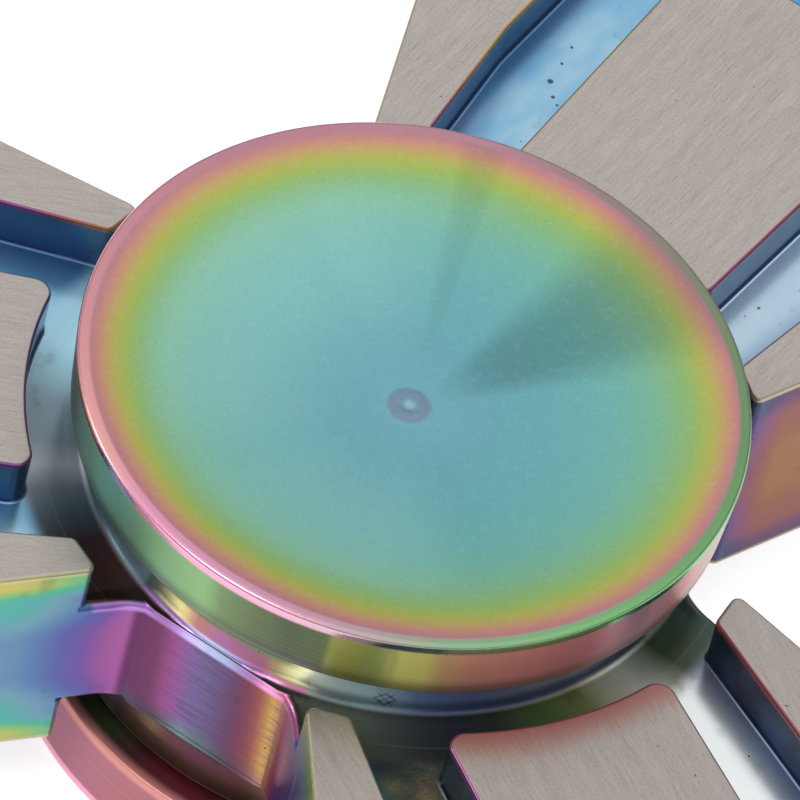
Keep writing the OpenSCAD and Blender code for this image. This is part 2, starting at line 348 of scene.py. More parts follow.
def plateOutline(d):
    outer = cornerArc(d["plateWall"], d["plateEndR"], -1, -1, d["plateCorner"])
    inner = cornerArc(d["plateWall"], d["plateStartR"], -1, 1, d["plateCorner"])
    return mirrorHalf(np.vstack([middleArc(d["plateEndR"], outer[-1][0])[:-1], outer[::-1], inner,
                                 middleArc(d["plateStartR"], inner[-1][0])[::-1][1:]]))


# Slab that joins hub and arms: true at the waist, and sunk into the rails further out.
def webOutline(d):
    c, e = d["neckC"], d["neckEnd"]
    neck = arc(c, d["neckR"], angleOf(d["waistCorner"] - c) % 360, angleOf(e - c) % 360, 5)
    proud = d["webProud"] * d["out"]
    flush = np.array([d["armWall"][0] + d["armWall"][1] * d["webFlush"], d["webFlush"]]) + proud
    sunk = crossing(d["armWall"], d["moatR"], -d["webSunk"]) + [d["webSunk"], 1.9]
    deep = d["bayEndR"] + 1.2
    far = crossing(d["armWall"], deep, -2.4)
    half = np.vstack([middleArc(deep, far[0])[:-1], [far, sunk, flush], neck[::-1] + proud])
    return mirrorHalfOpen(half)


# Outline of one arm from the waist corner on its left to the one on its right.
def mirrorHalfOpen(half):
    left = half * [-1, 1]
    return np.vstack([half[::-1], left[1:]])


def turned(points, degrees):
    a = math.radians(degrees)
    turn = np.array([[math.cos(a), math.sin(a)], [-math.sin(a), math.cos(a)]])
    return points @ turn


# Rings of a prism whose upper and lower edges are rounded, with a close pair inside each
# rounding so that the flat faces stay flat in shading.
def roundedRings(low, high, radius, steps=7):
    t = np.radians(np.linspace(0, 90, steps))
    lower = [(-radius * (1 - math.sin(a)), low + radius * (1 - math.cos(a))) for a in t]
    rings = [(-radius - 0.05, low)] + lower
    return rings + [(off, low + high - z) for off, z in rings[::-1]]


# Rings of the rails: rounded at both faces, and filleted at the groove floors on the inside.
def railRings(d, inside):
    f, floor, face = d["footRound"], d["floorZ"], d["faceZ"]
    rings = roundedRings(0, face, d["faceRound"])
    upper = rings[len(rings) // 2:]
    t = np.radians(np.linspace(0, 90, 7))
    fillet = [(inside * f * (1 - math.sin(a)), floor + f * (1 - math.cos(a)) - 0.001) for a in t]
    upper = [(-0.6 * inside, floor - 0.2)] + fillet + [(o * np.ones(len(inside)), z) for o, z in upper]
    return [(o, -z) for o, z in upper[::-1]] + upper


# Union of closed pieces as one closed mesh.
def joined(pieces, name):
    first = pieces[0]
    for other in pieces[1:]:
        cut(first, other, "UNION")
    first.name = first.data.name = name
    return first


def cut(target, other, how):
    step = target.modifiers.new("step", "BOOLEAN")
    step.operation, step.solver, step.object = how, "EXACT", other
    depsgraph = bpy.context.evaluated_depsgraph_get()
    mesh = bpy.data.meshes.new_from_object(target.evaluated_get(depsgraph))
    target.modifiers.clear()
    old, target.data = target.data, mesh
    bpy.data.meshes.remove(old)
    data = other.data
    bpy.data.objects.remove(other)
    bpy.data.meshes.remove(data)


# Revolved solid whose profile runs from the axis to the axis, or is a closed loop.
def closeRevolve(profile, segments, name):
    profile = np.asarray(profile, float)
    onAxis = profile[0, 0] < 1e-9
    body = profile[1:-1] if onAxis else np.vstack([profile, profile[:1]])
    points, quads = revolve(body, segments)
    faces = [tuple(q) for q in quads.tolist()]
    if onAxis:
        rows = len(body)
        points = np.vstack([points, [[0, 0, profile[0, 1]], [0, 0, profile[-1, 1]]]])
        j = np.arange(segments)
        k = (j + 1) % segments
        first, last = rows * segments, rows * segments + 1
        faces += [(first, int(b), int(a)) for a, b in zip(j, k)]
        faces += [(last, int((rows - 1) * segments + a), int((rows - 1) * segments + b)) for a, b in zip(j, k)]
    else:
        rows = len(profile)
        points = points[:rows * segments]
        faces = [tuple(v % (rows * segments) for v in f) for f in faces]
    return makeMesh(name, points, faces)


# Turns the faces of a closed piece outwards by the sign of its volume.
def faceOut(piece):
    bm = bmesh.new()
    bm.from_mesh(piece.data)
    bmesh.ops.remove_doubles(bm, verts=bm.verts, dist=1e-7)
    bmesh.ops.recalc_face_normals(bm, faces=bm.faces)
    bm.to_mesh(piece.data)
    bm.free()


# Surface of the hub boss: rows of points round the axis, with a foot that fades at the waists.
def bossRows(d, waistAt):
    a = np.linspace(0, 2 * math.pi, d["bossSegments"], endpoint=False)
    foot = np.clip(waistAt(a) - 0.03 - d["bossR"], 0.01, d["bossFoot"])
    rise = np.maximum(foot, d["bossRise"])
    t = np.radians(np.linspace(0, 90, 7))
    rows = []
    top, edge = d["bossZ"], d["bossRound"]
    for angle in t:
        rows.append((d["bossR"] - edge + edge * math.sin(angle) + 0 * a, top - edge + edge * math.cos(angle) + 0 * a))
    for angle in t:
        rows.append((d["bossR"] + foot * (1 - math.cos(angle)), d["floorZ"] + rise * (1 - math.sin(angle))))
    rows.append((d["bossR"] + foot - 0.02, d["floorZ"] - 0.37 + 0 * a))
    rows.append((d["bossR"] - 0.5 + 0 * a, d["floorZ"] - 0.6 + 0 * a))
    rows = rows + [(r, -z) for r, z in rows[::-1]]
    r, z = np.array([p[0] for p in rows]), np.array([p[1] for p in rows])
    points = np.stack([r * np.cos(a), r * np.sin(a), z], 2).reshape(-1, 3)
    n, m = len(rows), len(a)
    i, j = np.meshgrid(np.arange(n - 1), np.arange(m), indexing="ij")
    k = (j + 1) % m
    quads = np.stack([i * m + j, (i + 1) * m + j, (i + 1) * m + k, i * m + k], 2).reshape(-1, 4)
    faces = [tuple(range(m))] + [tuple(q) for q in quads.tolist()] + [tuple(range((n - 1) * m, n * m))[::-1]]
    return points, faces


def makeBody():
    d = bodyShape(bodyMm)
    rails, inside = railsOutline(d)
    if (rails != anticlockwise(rails)).any():
        rails, inside = rails[::-1], inside[::-1]
    plate = anticlockwise(plateOutline(d))
    arm = webOutline(d)
    web = anticlockwise(np.vstack([turned(arm, 120 * k) for k in range(3)]))
    face = d["faceZ"]

    def waistAt(a):
        off = (np.degrees(a) - 30 + 60) % 120 - 60
        flat = d["waistR"] / np.cos(np.radians(np.clip(np.abs(off), 0, 50)))
        return np.where(np.abs(off) < d["waistHalf"], flat, 99.0)

    pieces = []
    points, faces = prism(web, roundedRings(-d["floorZ"], d["floorZ"], d["waistRound"]))
    pieces.append(makeMesh("web", points * mm, faces))
    for k in range(3):
        for outline, rings, label in ((rails, railRings(d, inside), "rails"),
                                      (plate, railRings(d, np.ones(len(plate))), "plate")):
            points, faces = prism(turned(outline, 120 * k), rings)
            pieces.append(makeMesh(label, points * mm, faces))
    points, faces = bossRows(d, waistAt)
    pieces.append(makeMesh("boss", points * mm, faces))
    for piece in pieces:
        faceOut(piece)
    body = joined(pieces, "spinnerBody")
    top, seat = d["bossZ"], d["seatZ"]
    profile = [(0, -9), (d["lipR"], -9), (d["lipR"], -seat), (d["seatR"], -seat), (d["seatR"], top - d["leadIn"]),
               (d["seatR"] + d["leadIn"] + 1, top + 1), (0, top + 1)]
    cutter = closeRevolve(np.array(profile) * mm, d["seatSegments"], "seatCutter")
    faceOut(cutter)
    cut(body, cutter, "DIFFERENCE")
    return body, d


body, shape = makeBody()
print("body:", len(body.data.polygons), "faces")


capMm = {
    "radius": 11.0, "top": 7.0, "under": 4.42, "dishDepth": 1.2, "land": 10.4, "taper": 0.2,
    "lip": 0.16,         # rounding of the rim's outer edge
    "underRound": 0.12,
    "nub": 0.8,
    "collar": 3.69, "ringZ": 2.381, "spigot": 3.155, "spigotEnd": 0.15, "hole": 2.02, "holeTop": 4.75,
    "segments": 240, "sharpDegrees": 38,
}


# Half section of the top cap from the axis on the dish to the axis in the stud's hole. The dish
# is z = top - depth + R - sqrt(R^2 - r^2), and the lip a quarter circle.
def capProfile(c):
    sphereR = (c["land"] ** 2 + c["dishDepth"] ** 2) / (2 * c["dishDepth"])

    def dish(r):
        return c["top"] - c["dishDepth"] + sphereR - np.sqrt(sphereR ** 2 - r ** 2)

    nub = [(0.0, -0.03), (0.1, -0.028), (0.19, 0.0), (0.28, 0.026), (0.40, 0.034), (0.52, 0.026), (0.62, 0.016),
           (0.71, 0.006), (c["nub"], 0.0)]
    rows = [(r, dish(r) + h) for r, h in nub]
    tilt = math.asin(c["land"] / sphereR)
    lip = c["lip"]
    centre = (c["radius"] - lip, c["top"] - lip)
    t = np.linspace(-tilt, math.pi / 2, 12)
    lipRows = [(centre[0] + lip * math.sin(a), centre[1] + lip * math.cos(a)) for a in t]
    r = np.linspace(c["nub"] + 0.25, lipRows[0][0] - 0.12, 46)
    bend = lipRows[0][1] - dish(lipRows[0][0])
    rows += [(q, dish(q) + bend * (q / lipRows[0][0]) ** 8) for q in r] + lipRows
    low, u = c["radius"] - c["taper"], c["underRound"]
    side = np.linspace(0.1, 0.94, 7)
    lipZ = c["top"] - c["lip"]
    rows += [(c["radius"] - c["taper"] * s, lipZ - s * (lipZ - c["under"])) for s in side]
    rows += [(low - u + u * math.cos(a), c["under"] + u - u * math.sin(a)) for a in np.radians(np.linspace(0, 90, 5))]
    rows += [(8.6, c["under"]), (6.0, c["under"]), (c["collar"] + 0.1, c["under"]), (c["collar"], c["under"] - 0.1),
             (c["collar"], c["ringZ"] + 0.08), (c["collar"] - 0.08, c["ringZ"]), (c["spigot"] + 0.02, c["ringZ"]),
             (c["spigot"], c["ringZ"] - 0.02), (c["spigot"], c["spigotEnd"] + 0.15), (c["spigot"] - 0.15, c["spigotEnd"]),
             (c["hole"] + 0.15, c["spigotEnd"]), (c["hole"], c["spigotEnd"] + 0.15), (c["hole"], c["holeTop"] - 0.02),
             (c["hole"] - 0.02, c["holeTop"]), (0.0, c["holeTop"])]
    return np.array(rows)


def makeCap(name, side):
    profile = capProfile(capMm) * mm
    profile[:, 1] *= side
    cap = closeRevolve(profile, capMm["segments"], name)
    faceOut(cap)
    cap.data.shade_smooth()
    cap.data.set_sharp_from_angle(angle=math.radians(capMm["sharpDegrees"]))
    return cap


caps = [makeCap("fingerCapTop", 1), makeCap("fingerCapBottom", -1)]
print("caps:", len(caps[0].data.polygons), "faces each")


film = {   # plating colours in the order that the film passes through as it thickens
    0.00: (214, 190, 84), 0.07: (204, 150, 76), 0.14: (182, 112, 70), 0.21: (176, 92, 104),
    0.28: (160, 84, 150), 0.35: (112, 78, 158), 0.42: (84, 92, 162), 0.50: (88, 124, 170),
    0.58: (108, 152, 172), 0.66: (78, 168, 158), 0.74: (84, 174, 140), 0.81: (130, 182, 118),
    0.87: (160, 184, 100), 0.93: (204, 178, 96), 1.00: (200, 128, 138),
}
dishFilm = {   # the same order across a cap's face, by share of its radius
    0.000: (120, 176, 190), 0.090: (114, 173, 186), 0.250: (108, 170, 181), 0.450: (108, 174, 178),
    0.560: (111, 178, 175), 0.650: (117, 181, 166), 0.720: (126, 184, 152), 0.780: (138, 186, 132),
    0.820: (149, 187, 116), 0.855: (166, 187, 98), 0.885: (184, 180, 97), 0.905: (194, 169, 108),
    0.930: (203, 149, 124), 0.955: (193, 134, 140), 0.985: (184, 134, 150),
}
lipFilmAndHighlight = {   # on the cap's rounded lip, by share of a turn from +X: film colour with a painted salmon highlight on one side
    0.00: (118, 168, 116), 0.08: (112, 150, 106), 0.17: (124, 136, 112), 0.25: (150, 130, 130),
    0.31: (178, 134, 146), 0.44: (184, 130, 144), 0.58: (210, 148, 154), 0.66: (236, 170, 166),
    0.70: (230, 160, 190), 0.78: (216, 160, 184), 0.825: (190, 170, 172), 0.86: (150, 180, 146),
    0.93: (130, 184, 126), 1.00: (118, 168, 116),
}
sideFilmAndReflections = {   # on the cap's side, by share of a turn: film colour with painted reflections, dark stripes and bright glints
    0.00: (222, 150, 150), 0.045: (170, 170, 140), 0.12: (90, 126, 136), 0.30: (84, 114, 154),
    0.45: (150, 110, 136), 0.55: (150, 106, 110), 0.585: (84, 72, 60), 0.61: (78, 80, 62),
    0.635: (98, 140, 122), 0.66: (112, 160, 136), 0.68: (92, 136, 114), 0.695: (104, 144, 116),
    0.71: (118, 162, 114), 0.742: (126, 168, 106), 0.752: (100, 130, 78), 0.768: (80, 98, 54),
    0.79: (58, 72, 36), 0.804: (72, 86, 38), 0.809: (147, 150, 72), 0.825: (150, 152, 74),
    0.829: (146, 156, 84), 0.835: (160, 168, 92), 0.838: (231, 227, 127), 0.855: (233, 222, 124),
    0.862: (226, 184, 130), 0.875: (226, 158, 136), 0.90: (222, 146, 136), 0.945: (196, 116, 132),
    0.962: (160, 110, 124), 0.975: (206, 150, 152), 1.00: (222, 150, 150),
}
underFilm = {   # on the lower cap's side, by share of a turn
    0.00: (140, 88, 112), 0.20: (162, 96, 120), 0.45: (150, 88, 120), 0.68: (166, 98, 122),
    0.73: (170, 102, 112), 0.85: (164, 92, 108), 1.00: (140, 88, 112),
}
wallFilmAndHighlight = {   # film on the arms' outer walls and the waists, by share of a turn, with a painted yellow highlight near 0.79
    0.000: 0.86, 0.042: 0.30, 0.060: 0.24, 0.080: 0.34, 0.105: 0.22, 0.122: 0.05, 0.131: 0.85, 0.143: 0.12,
    0.210: 0.12, 0.370: 0.30, 0.480: 0.66, 0.580: 0.62, 0.680: 0.57, 0.6885: 0.52, 0.692: 0.43, 0.697: 0.33,
    0.7015: 0.265, 0.7065: 0.32, 0.7085: 0.23, 0.716: 0.225, 0.728: 0.26, 0.736: 0.33, 0.760: 0.29, 0.768: 0.21,
    0.784: 0.10, 0.790: 0.02, 0.794: 0.12, 0.800: 0.32, 0.830: 0.60, 1.000: 0.86,
}


moatFilmAndReflections = {   # floor of the moat, by share of a turn: painted reflections of the cap and boss, dark and bright, over the film colour
    0.00: (66, 82, 60), 0.10: (60, 84, 104), 0.45: (100, 140, 160), 0.54: (180, 234, 255),
    0.575: (128, 154, 166), 0.598: (130, 150, 162), 0.613: (178, 188, 196), 0.628: (104, 120, 132),
    0.642: (72, 88, 98), 0.66: (56, 44, 50), 0.68: (74, 50, 46), 0.74: (60, 60, 62), 0.80: (84, 88, 84),
    0.835: (90, 94, 84), 0.86: (62, 66, 66), 0.88: (48, 52, 56), 0.90: (52, 60, 50), 0.93: (92, 114, 64),
    0.948: (132, 138, 84), 0.96: (190, 190, 160), 0.975: (200, 206, 196), 1.00: (66, 82, 60),
}
bossFilmAndGlints = {   # hub boss, by share of a turn: film colour with painted glints
    0.00: (120, 128, 120), 0.30: (110, 130, 140), 0.55: (100, 130, 140), 0.64: (84, 110, 116),
    0.694: (108, 134, 146), 0.711: (150, 150, 104), 0.722: (236, 220, 150), 0.733: (176, 120, 104),
    0.750: (158, 98, 146), 0.764: (146, 88, 120), 0.778: (140, 84, 106), 0.786: (150, 130, 84),
    0.798: (236, 232, 176), 0.812: (232, 248, 244), 0.820: (226, 250, 250), 0.833: (216, 252, 255),
    0.860: (140, 170, 220), 0.889: (132, 147, 203), 0.930: (160, 163, 205), 1.00: (120, 128, 120),
}
waistFilmAndHighlight = {   # middle of the waist walls, by share of a turn, with a painted yellow highlight near 0.79
    0.000: (96, 150, 160), 0.040: (108, 96, 150), 0.080: (130, 70, 110), 0.120: (176, 120, 80),
    0.130: (150, 150, 90), 0.400: (110, 90, 140), 0.690: (96, 50, 100), 0.709: (98, 36, 86),
    0.720: (104, 44, 86), 0.7265: (136, 64, 118), 0.733: (138, 74, 138), 0.741: (110, 88, 142),
    0.750: (98, 84, 128), 0.758: (94, 72, 114), 0.767: (92, 52, 86), 0.775: (114, 46, 68), 0.783: (146, 76, 64),
    0.790: (196, 156, 74), 0.794: (150, 90, 90), 0.800: (96, 62, 90), 0.830: (90, 80, 120),
    1.000: (96, 150, 160),
}
waistFootFilm = {   # lowest band of the waist walls
    0.00: (90, 120, 130), 0.40: (80, 110, 120), 0.70: (70, 72, 98), 0.717: (60, 54, 72), 0.726: (58, 56, 66),
    0.733: (72, 92, 94), 0.742: (96, 136, 132), 0.75: (84, 116, 108), 0.76: (76, 96, 94), 0.768: (66, 70, 74),
    0.776: (68, 54, 66), 0.785: (104, 74, 90), 0.792: (160, 104, 106), 1.00: (90, 120, 130),
}
waistEdgeFilmAndHighlight = {   # rounded upper edge of the waists and necks: film colour with a painted highlight band
    0.00: (170, 140, 180), 0.30: (180, 140, 170), 0.68: (168, 120, 200), 0.705: (176, 128, 204),
    0.717: (146, 104, 160), 0.725: (168, 120, 188), 0.733: (196, 176, 232), 0.742: (190, 190, 234),
    0.75: (170, 184, 220), 0.758: (164, 166, 214), 0.767: (156, 130, 184), 0.775: (168, 110, 166),
    0.783: (246, 160, 220), 0.792: (206, 116, 160), 1.00: (170, 140, 180),
}


# Share of a turn of a point round the axis, from 0 at +X.
def turnShare(f, x, y):
    return f.add("Math", {"operation": "ARCTAN2"}, i0=y, i1=x) / (2 * math.pi) + f.add(
        "Math", {"operation": "LESS_THAN"}, i0=y, i1=0.0)


def cellsOf(stops):
    return [(p, c) for p, c in sorted(stops.items())]


# 1 on the ray at an angle, falling to 0 between two half widths in degrees.
def sector(f, x, y, radius, degrees, narrow, wide):
    a = math.radians(degrees)
    near = (x * math.cos(a) + y * math.sin(a)) / radius
    return f.fit(near, math.cos(math.radians(wide)), math.cos(math.radians(narrow)))


def capFinish():
    f = Finish("platedCap", Metallic=1.0, Anisotropic=0.35)
    p = f.place()
    x, y, z = [w / mm for w in f.parts(p)]
    radius = (x * x + y * y) ** 0.5
    share = radius / capMm["radius"]
    drift = f.noise(p, 170, 2, 0.5) - 0.5
    face = f.ramp(share + drift * 0.03, cellsOf(dishFilm))
    nubRing = f.fit(abs(radius - 0.48), 0.34, 0.16) * f.fit(abs(z), 6.4, 6.2)
    face = f.blend(nubRing * 0.8, face, tint((120, 136, 160)))
    eye = f.fit(radius, 0.22, 0.08)
    face = f.blend(eye * 0.6, face, tint((160, 186, 200)))
    # Painted reflection shading on the dished face: a dark wedge, a faint dark wedge and pale highlight fans round the
    # centre stand in for the turned face reflecting the room.
    turned = sector(f, x, y, radius, 68, 0, 21) * f.fit(radius, 0.6, 4.0) * f.fit(radius, 11.0, 7.0, 0.5, 1.0)
    face = f.blend(turned * 0.46, face, tint((58, 88, 88)))
    second = sector(f, x, y, radius, 112, 0, 5) * f.fit(radius, 1.0, 6.0)
    face = f.blend(second * 0.17, face, tint((60, 96, 84)))
    pale = sector(f, x, y, radius, 192, 10, 80) * 0.30 + sector(f, x, y, radius, 282, 5, 42) * 0.22 + sector(
        f, x, y, radius, 130, 2, 26) * 0.12
    face = f.blend(pale * f.fit(radius, 1.0, 6.0) * f.fit(radius, 9.4, 7.8), face, tint((172, 222, 212)))
    face = f.blend(f.fit(radius, 9.0, 7.8) * 0.04, face, tint((176, 216, 222)))
    speckle = f.noise(p, 13000, 2, 0.6)
    mottle = f.noise(p, 3600, 2, 0.5)
    face = f.blend(f.fit(speckle, 0.50, 0.72) * 0.12, face, tint((70, 104, 120)))
    face = f.blend(f.fit(mottle, 0.5, 0.8) * 0.10, face, tint((170, 212, 212)))
    turn = turnShare(f, x, y)
    streak = f.noise(f.join(x * 1.1, y * 1.1, z * 0.18), 1.0, 3, 0.6) - 0.5
    lines = f.noise(f.join(radius, 0.0, z * 9.0), 1.0, 3, 0.7)
    side = f.ramp(turn + streak * 0.012, cellsOf(sideFilmAndReflections))
    # Painted shade: the top cap's side is darkened towards its lower edge, next to the gap under it.
    side = f.blend(f.fit(abs(z), 5.3, 4.6) * 0.55, side, tint((48, 46, 52)))
    # The lower cap's side gets a painted salmon highlight along its upper edge.
    below = f.blend(f.fit(z, -4.85, -4.6) * 0.8, f.ramp(turn, cellsOf(underFilm)), tint((226, 150, 138)))
    side = f.blend(f.fit(z, 1.0, -1.0), side, below)
    side = f.blend(f.fit(lines, 0.5, 0.8) * 0.2, side, tint((210, 200, 190)))
    # Painted shade and dark reflection on the caps' inner faces next to the body, olive at one side and dark red at the
    # other.
    inner = f.fit(radius, 10.7, 10.3) * f.fit(abs(z), 5.2, 4.9)
    inside = f.ramp(turn + drift * 0.03, [(0.60, (40, 40, 40)), (0.685, (58, 60, 40)), (0.70, (52, 62, 40)),
                                          (0.72, (74, 34, 40)), (0.74, (104, 30, 44)), (0.80, (84, 40, 48))])
    side = f.blend(inner, side, inside)
    n = f.parts(f.facing())
    up = f.fit(abs(n[2]), 0.62, 0.86) * f.fit(abs(z), 5.2, 5.5)
    rim = f.fit(radius, 10.52, 10.68) * f.fit(abs(z), 6.55, 6.7)
    lip = f.ramp(turn, cellsOf(lipFilmAndHighlight))
    colour = f.blend(rim, f.blend(up, side, face), lip)
    rings = f.noise(f.join(radius * 16.0, 0.0, 0.0), 1.0, 3, 0.7)
    rough = 0.34 + rings * 0.10 + f.fit(speckle, 0.45, 0.7) * 0.06 - rim * 0.18 - (1 - up) * (1 - rim) * 0.06
    height = (rings * 0.7 + speckle * 0.5) * up * (1 - rim) + lines * (1 - up) * (1 - rim) * 0.4
    f.set(Base_Color=colour, Roughness=rough, Metallic=1 - (1 - up) * (1 - rim) * 0.62,
          Normal=f.bump(height, 0.00002, 0.22))
    return f.material


pitsMm = [   # x, y and radius of the larger casting pits
    (-5.6, 17.4, 0.13), (-5.15, 16.9, 0.09), (-5.75, 18.3, 0.07), (-4.85, 16.7, 0.06), (5.0, 14.1, 0.07),
    (12.4, -3.1, 0.08), (15.1, -4.0, 0.11), (-11.4, -5.2, 0.12), (-13.3, -9.4, 0.12),
]
flawDegrees, flawZ = 303, 2.88   # place of the crossed casting flaw on the boss wall


def bodyFinish(d):
    f = Finish("platedCasting")
    p = f.place()
    x, y, z = [w / mm for w in f.parts(p)]
    n = f.parts(f.facing())
    radius = (x * x + y * y) ** 0.5
    high = abs(z)
    runs, sides = [], []
    for degrees in (90, 210, 330):
        a = math.radians(degrees)
        runs.append(x * math.cos(a) + y * math.sin(a))
        sides.append(y * math.cos(a) - x * math.sin(a))
    along = f.add("Math", {"operation": "MAXIMUM"}, i0=runs[0],
                  i1=f.add("Math", {"operation": "MAXIMUM"}, i0=runs[1], i1=runs[2]))
    across, fromMiddle = 0.0, 0.0
    for k in range(3):
        mine = f.add("Math", {"operation": "GREATER_THAN"}, i0=runs[k] + 0.0001, i1=along)
        across = mine * (sides[k] + 40.0 * k) + across
        fromMiddle = mine * abs(sides[k]) + fromMiddle
    level = f.fit(abs(n[2]), 0.90, 0.985)
    bare = f.fit(high, d["faceZ"] - 0.07, d["faceZ"] - 0.015) * level
    drift = f.noise(p, 150, 2, 0.5) - 0.5
    blotch = f.noise(p, 700, 3, 0.6)

    # brushed steel of the flat faces, with lines along each arm
    fine = f.noise(f.join(across * 26.0, along * 0.9, 0.0), 1.0, 4, 0.72)
    broad = f.noise(f.join(across * 3.0, along * 0.16, 3.0), 1.0, 3, 0.6)
    grit = f.noise(p, 12000, 2, 0.6)
    cloud = f.noise(p, 260, 3, 0.55)
    steel = f.ramp(fine * 0.55 + broad * 0.18 + grit * 0.27, [(0.32, (150, 141, 136)), (0.47, (178, 170, 165)),
                                                             (0.56, (188, 181, 176)), (0.70, (208, 202, 197))])
    steel = f.blend(f.fit(cloud, 0.5, 0.75) * 0.20, steel, tint((186, 170, 160)))
    pits = f.fit(f.noise(p, 3800, 2, 0.4), 0.76, 0.80)
    steel = f.blend(pits * 0.7, steel, tint((84, 76, 72)))
    ownArm = f.fit(runs[2] - along, -0.01, 0.0)
    hubEnd = f.fit(radius + drift * 1.6 + (fine - 0.5) * 0.6, d["plateStartR"] + 1.7, d["plateStartR"] + 0.3)
    steel = f.blend(ownArm * 0.14, steel, tint((96, 88, 88)))
    steel = f.blend(hubEnd * ownArm * f.fit(fromMiddle, 5.2, 4.6) * 0.8, steel, tint((164, 104, 96)))

    # plating on walls, grooves and boss
    turn = turnShare(f, x, y)
    outward = fromMiddle - along * d["armWall"][1] - d["armWall"][0]
    outer = f.fit(outward, -0.75, -0.45)
    besideWaist = f.fit(along, 7.9, 7.4) * 0.3
    hub = f.fit(radius, 10.75, 10.45) * f.fit(high - besideWaist, 2.2, 2.35)
    waist = f.fit(radius, 10.75, 10.5)
    streaks = f.noise(f.join(turn * 34.0, z * 7.0, 0.0), 1.0, 4, 0.7)
    wallT = f.ramp(turn, cellsOf(wallFilmAndHighlight))
    warmArm = f.fit(turn, 0.04, 0.10) * f.fit(turn, 0.40, 0.30)
    edge = f.fit(high, 0.8, 2.8) * 0.13 + f.fit(high, 2.9, 3.8) * 0.25
    edge = edge * f.fit(radius, 10.4, 11.9) * (1 - warmArm * 0.55)
    wall = f.ramp(wallT + edge + drift * 0.05, cellsOf(film))
    wall = f.blend(0.10, wall, tint((30, 32, 40)))
    wall = f.blend(warmArm * 0.48, wall, tint((44, 26, 2)))
    wall = f.blend(warmArm * f.fit(high, 2.8, 3.9) * 0.5, wall, tint((44, 36, 60)))
    waistTone = f.ramp(turn + z * 0.0006 + (streaks - 0.5) * 0.006, cellsOf(waistFilmAndHighlight))
    waistTone = f.blend(f.fit(streaks, 0.45, 0.62) * 0.35, waistTone, tint((66, 46, 78)))
    waistTone = f.blend(f.fit(z, -1.4, -2.2) * 0.75, waistTone, f.ramp(turn, cellsOf(waistFootFilm)))
    wall = f.blend(waist, wall, waistTone)
    # Painted highlight band along the waists' rounded upper edge, over the film colour.
    topEdge = f.fit(radius, 12.0, 11.8) * f.fit(z, 1.96, 2.14) * f.fit(z, 2.9, 2.7)
    wall = f.blend(topEdge * 0.9, wall, f.ramp(turn, cellsOf(waistEdgeFilmAndHighlight)))
    deepT = 0.47 + drift * 0.14 + f.fit(high, 2.5, 4.2) * 0.05
    deep = f.blend(0.42, f.ramp(deepT, cellsOf(film)), tint((30, 46, 46)))
    deep = f.blend(ownArm * f.fit(blotch, 0.35, 0.6, 0.5, 0.85), deep, tint((44, 46, 60)))
    bossTone = f.ramp(turn + drift * 0.012, cellsOf(bossFilmAndGlints))
    # Painted shade under the cap: the boss is darkened a little all round and strongly on its lower part past 0.8 of a
    # turn.
    boss = f.blend(0.04 + f.fit(high, 3.05, 2.6) * f.fit(turn, 0.785, 0.81) * 0.7, bossTone, tint((20, 44, 62)))
    greenTop = f.fit(high, 3.1, 3.4) * f.fit(turn, 0.70, 0.715) * f.fit(turn, 0.80, 0.785)
    boss = f.blend(greenTop * 0.9, boss, tint((88, 114, 66)))
    # Painted shade: the boss's lower half, between the body and the lower cap, is darkened to dark red.
    boss = f.blend(f.fit(z, 1.0, -1.0) * 0.85, boss, tint((62, 20, 30)))
    floorCloud = f.noise(f.join(across * 0.5, along * 0.22, 7.0), 1.0, 3, 0.5)
    floor = f.ramp(floorCloud + drift * 0.2,
                   [(0.30, (104, 164, 206)), (0.48, (126, 182, 216)), (0.70, (168, 204, 224))])
    nearHub = f.fit(along, 21.0, 16.5)
    armA, armC = f.fit(runs[0] - along, -0.01, 0.0), ownArm * nearHub
    floor = f.blend(armA * f.fit(sides[0], 0.0, -1.0) * 0.6, floor, tint((206, 222, 232)))
    floor = f.blend(armC * f.fit(sides[2], -1.0, 1.0) * 0.92, floor, tint((250, 254, 253)))
    rust = f.ramp(blotch * 0.7 + grit * 0.3, [(0.36, (46, 50, 52)), (0.50, (74, 78, 68)), (0.62, (122, 122, 88))])
    floor = f.blend(armC * f.fit(sides[2], 1.0, -1.0) * 0.9, floor, rust)
    railGap = fromMiddle - along * d["railWall"][1] - d["railWall"][0]
    kneeGap = fromMiddle - d["knee"][0]
    beside = f.add("Math", {"operation": "MAXIMUM"}, i0=railGap, i1=kneeGap)
    # Painted reflection: the groove floor darkens to blue next to the rail walls, where it mirrors them.
    floor = f.blend(f.fit(beside, -1.5, -0.1) * 0.75, floor, tint((52, 98, 150)))
    moat = f.ramp(turn + drift * 0.01, cellsOf(moatFilmAndReflections))
